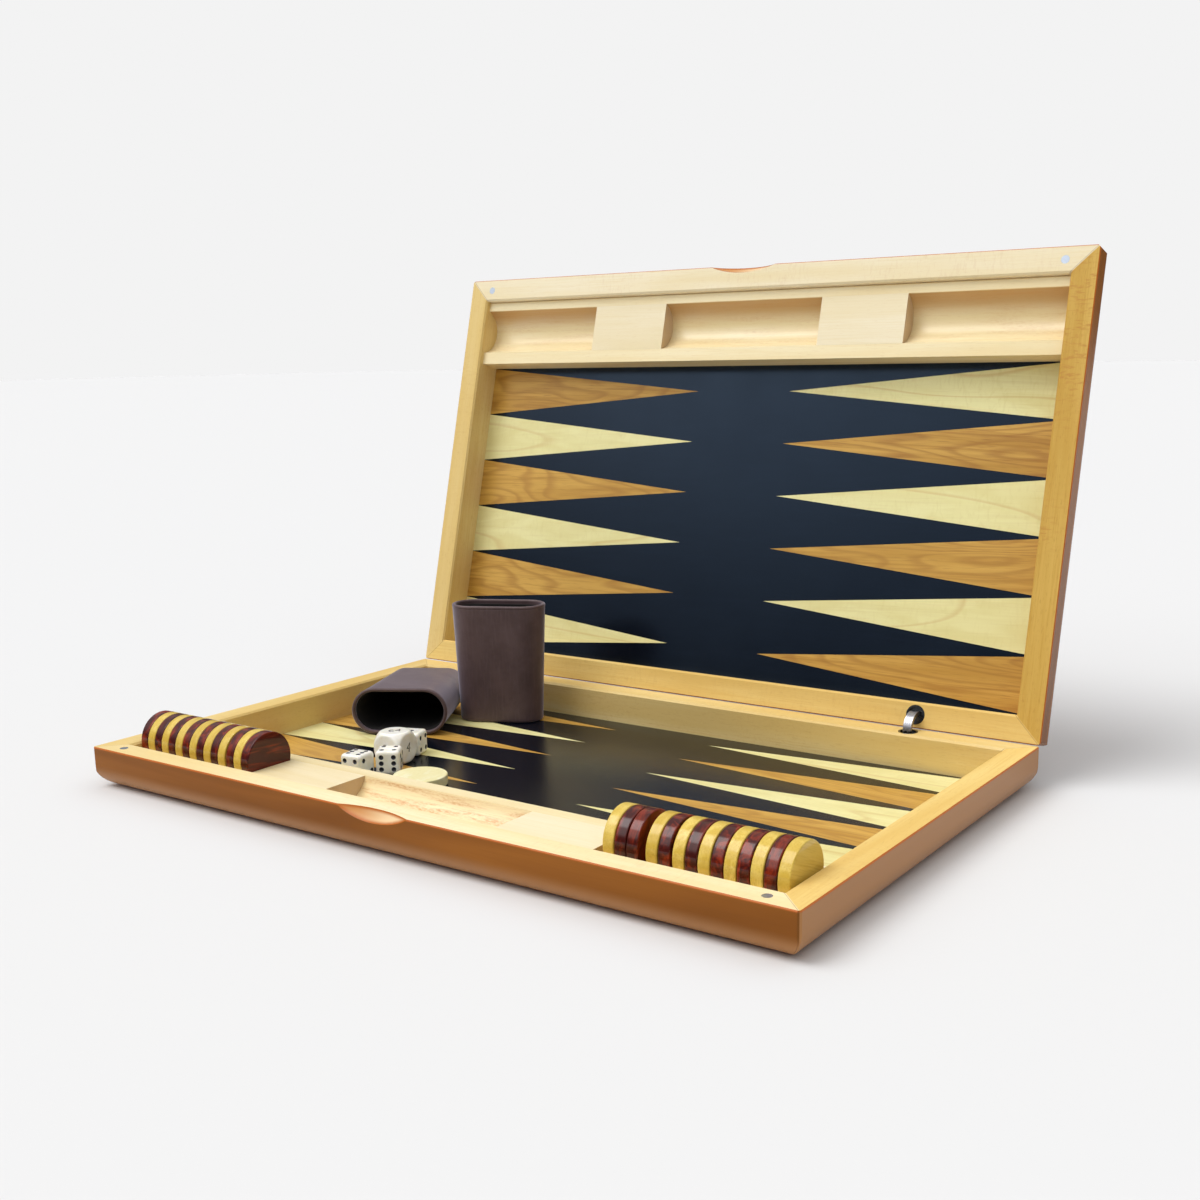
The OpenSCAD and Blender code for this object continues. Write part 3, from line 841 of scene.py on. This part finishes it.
def cup_wall(seam):
    """The leather wall: rounded foot, lapped and stitched side seam, rolled rim.

    Its profile is rows of height and inset in millimetres, and whether the seam laps there.
    """
    h = CUP_H / MM
    outside = [(0, 1.0, 0), (0.25, 0.35, 0), (0.9, 0.0, 0), (2.2, 0.0, 0), (2.6, 0.0, 1)]
    outside += [(z, 0.0, 1) for z in range(6, 78, 5)]
    rim = [(h - 3.0, 0.0, 1), (h - 2.6, 0.0, 0), (h - 2.3, 0.12, 0), (h - 2.0, 0.0, 0)]
    rim += [(h - 1.4, -0.16, 0), (h - 0.8, -0.1, 0), (h - 0.3, 0.25, 0), (h - 0.05, 0.75, 0)]
    rim += [(h, 1.1, 0), (h - 0.1, 1.6, 0)]
    rim += [(h - 0.5, 2.05, 0), (h - 1.2, 2.2, 0), (h - 2.0, 2.1, 0), (h - 3.2, 2.0, 0)]
    inside = [(h - 8, 2.0, 0), (40, 2.0, 0), (3.0, 2.0, 0), (0.3, 2.0, 0), (0.05, 1.7, 0)]
    bm = bmesh.new()
    loft(bm, [(z * MM, inset * MM, lap) for z, inset, lap in outside + rim + inside], True, seam)
    for row in (-1, 1):
        for k in range(STITCHES):
            z = (5 + 3.75 * k) * MM
            short = CUP_FOOT[1] + (CUP_MOUTH[1] - CUP_FOOT[1]) * z / CUP_H
            at = Matrix.Translation((row * 2.2 * MM, seam * (short / 2 + 0.36 * MM), z))
            shape = at @ STITCH
            first = len(bm.faces)
            bmesh.ops.create_uvsphere(bm, u_segments=8, v_segments=6, radius=1, matrix=shape)
            bm.faces.ensure_lookup_table()
            for f in bm.faces[first:]:
                f.material_index = 1
    return bm


def cup_lining():
    """The flocked lining, a closed thin shell inside the wall."""
    h = CUP_H / MM
    outer = [(3.05, 2.2), (3.4, 2.05), (20, 2.05), (40, 2.05), (h - 3.4, 2.05), (h - 3.1, 2.2)]
    inner = [(h - 3.05, 2.5), (h - 3.4, 2.8), (40, 2.8), (20, 2.8)]
    inner += [(5.2, 2.8), (4.3, 3.1), (3.9, 3.9)]
    bm = bmesh.new()
    loft(bm, [(z * MM, inset * MM, 0) for z, inset in outer + inner], False)
    return bm


def cup_sole():
    """The sole, with a pressed groove round its underside."""
    profile = [(0.4, 5.6), (0.62, 5.2), (0.62, 4.8), (0.4, 4.4), (0.4, 2.4), (0.6, 2.05)]
    profile += [(2.9, 2.05), (3.0, 2.3)]
    bm = bmesh.new()
    loft(bm, [(z * MM, inset * MM, 0) for z, inset in profile], False)
    return bm


def cup(name, turn, seam, skin, thread, lining, flatten=None):
    """A cup of three pieces. Where flatten names a joint, each piece gets a mesh of its own."""
    bm, node = cup_wall(seam), f"{name}_wall"
    wall, shift = finish_piece(
        f"{name}_leather", bm, [skin, thread], node, name, turn
    )
    pieces = [wall]
    for part, bm, material, slot in (
        ("lining", cup_lining(), lining, "cup_lining"),
        ("sole", cup_sole(), skin, "leather"),
    ):
        mesh = bpy.data.meshes.new(f"{name}_{part}_piece")
        bm.to_mesh(mesh)
        bm.free()
        mesh.transform(Matrix.Translation(shift) @ turn)
        nodes = [f"{name}_{part}"]
        pieces.append(attach(f"{name}_{part}_piece", mesh, [material], name, nodes))
    if flatten:
        for piece in pieces:
            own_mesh(piece)


STANDING_TURN = math.radians(25)
LYING_TURN = math.radians(29)


def loose_pieces():
    """The dice, the doubling cube and the two cups."""
    ivories = [ivory("dice_ivory_resin"), pip_paint("pip_ink")]
    # numbers on top, at the front and on the right, then degrees about Z
    dice = dict(die_left=(6, 4, 2, 8), die_front=(4, 6, 5, 35), die_back=(1, 5, 4, 19))
    for name, (top, front, right, turn) in dice.items():
        die(name, top, front, right, math.radians(turn), ivories)
    doubling_cube(math.radians(7), [ivories[0], worn_ink("numeral_ink")])
    skins = leather("cup_leather"), waxed_thread("cup_thread"), felt("cup_felt")
    cup("standing_cup", Matrix.Rotation(STANDING_TURN, 4, "Z"), 1, *skins, flatten="lid_hinge")
    lean = math.atan((CUP_MOUTH[1] - CUP_FOOT[1]) / 2 / CUP_H)
    laid = Matrix.Rotation(LYING_TURN, 4, "Z") @ Matrix.Rotation(math.pi / 2 - lean, 4, "X")
    cup("lying_cup", laid, -1, *skins)


# ---------------------------------------------------------------- floor, light and camera

WALL = 0.896  # radiance of the plain wall behind
AMBIENT = (0.07, 0.62)  # at the horizon and overhead
AMBIENT_HEIGHTS = (0.14, 0.55)  # sines of the elevations between which it rises
FLOOR_SIZE = 60
FLOOR_TONE = (0.72, 0.72, 0.723, 1)
SOFT_BOXES = (  # direction, cosines at the edge and at the core, strength
    ((-0.35, -0.33, 0.83), 0.92, 0.965, 4.9),
    ((-0.5, -0.65, 0.7), 0.84, 0.97, 0.45),
    ((-0.51, -0.72, 0.5), 0.965, 0.995, 0.9),
    ((0.2, 0.1, 1.0), 0.7, 0.97, 0.6),
)


def stage():
    """A plain matt floor."""
    bpy.ops.mesh.primitive_plane_add(size=FLOOR_SIZE, location=(0, 0, 0))
    floor = bpy.context.object
    floor.name = "floor"
    s = Shader("pale_floor")
    s.set(Base_Color=FLOOR_TONE, Roughness=1.0, Specular_IOR_Level=0.0)
    floor.data.materials.append(s.material)


def world():
    """A pale studio: the camera sees a plain wall, and broad soft boxes light the object."""
    w = bpy.data.worlds.new("studio")
    bpy.context.scene.world = w
    w.use_nodes = True
    tree = w.node_tree
    background = tree.nodes["Background"]
    coords = tree.nodes.new("ShaderNodeTexCoord").outputs["Generated"]

    def value(operation, a, b):
        n = tree.nodes.new("ShaderNodeMath")
        n.operation = operation
        for socket, v in zip(n.inputs, (a, b)):
            if isinstance(v, float):
                socket.default_value = v
            else:
                tree.links.new(v, socket)
        return n.outputs[0]

    total = None
    for direction, cos_edge, cos_core, strength in SOFT_BOXES:
        dot = tree.nodes.new("ShaderNodeVectorMath")
        dot.operation = "DOT_PRODUCT"
        tree.links.new(coords, dot.inputs[0])
        dot.inputs[1].default_value = Vector(direction).normalized()
        fade = tree.nodes.new("ShaderNodeMapRange")
        fade.interpolation_type = "SMOOTHSTEP"
        tree.links.new(dot.outputs["Value"], fade.inputs[0])
        for socket, v in zip(list(fade.inputs)[1:5], (cos_edge, cos_core, 0.0, strength)):
            socket.default_value = v
        total = fade.outputs[0] if total is None else value("ADD", total, fade.outputs[0])
    up = tree.nodes.new("ShaderNodeSeparateXYZ")
    tree.links.new(coords, up.inputs[0])
    sky = tree.nodes.new("ShaderNodeMapRange")
    sky.interpolation_type = "SMOOTHSTEP"
    tree.links.new(up.outputs[2], sky.inputs[0])
    for socket, v in zip(list(sky.inputs)[1:5], (*AMBIENT_HEIGHTS, *AMBIENT)):
        socket.default_value = v
    lit = value("ADD", total, sky.outputs[0])
    seen = tree.nodes.new("ShaderNodeLightPath").outputs["Is Camera Ray"]
    pick = tree.nodes.new("ShaderNodeMix")
    tree.links.new(seen, pick.inputs[0])
    tree.links.new(lit, pick.inputs[2])
    pick.inputs[3].default_value = WALL
    tree.links.new(pick.outputs[0], background.inputs["Color"])
    background.inputs["Strength"].default_value = 1.0


CAMERA_AT = (0.49671, -0.63625, 0.24981)
CAMERA_ANGLES = (35.3347, 10.9496, -1.0410)  # azimuth, elevation and roll, in degrees
LENS = 42.328
SHIFT = (-0.01368, 0.02596)


def camera():
    """The view of the photograph: from the right front corner, a little above the rim."""
    data = bpy.data.cameras.new("camera")
    data.sensor_width = 36
    data.lens = LENS
    data.shift_x, data.shift_y = SHIFT
    data.clip_end = 100
    cam = new_object("camera", data)
    azimuth, elevation, roll = (math.radians(a) for a in CAMERA_ANGLES)
    turn = (
        Matrix.Rotation(azimuth, 4, "Z")
        @ Matrix.Rotation(math.pi / 2 - elevation, 4, "X")
        @ Matrix.Rotation(roll, 4, "Z")
    )
    cam.matrix_world = Matrix.Translation(CAMERA_AT) @ turn
    bpy.context.scene.camera = cam


def main():
    paint_case()
    paint_checkers()
    loose_pieces()
    stage()
    world()
    camera()
    bpy.context.scene.view_settings.view_transform = "Standard"


main()
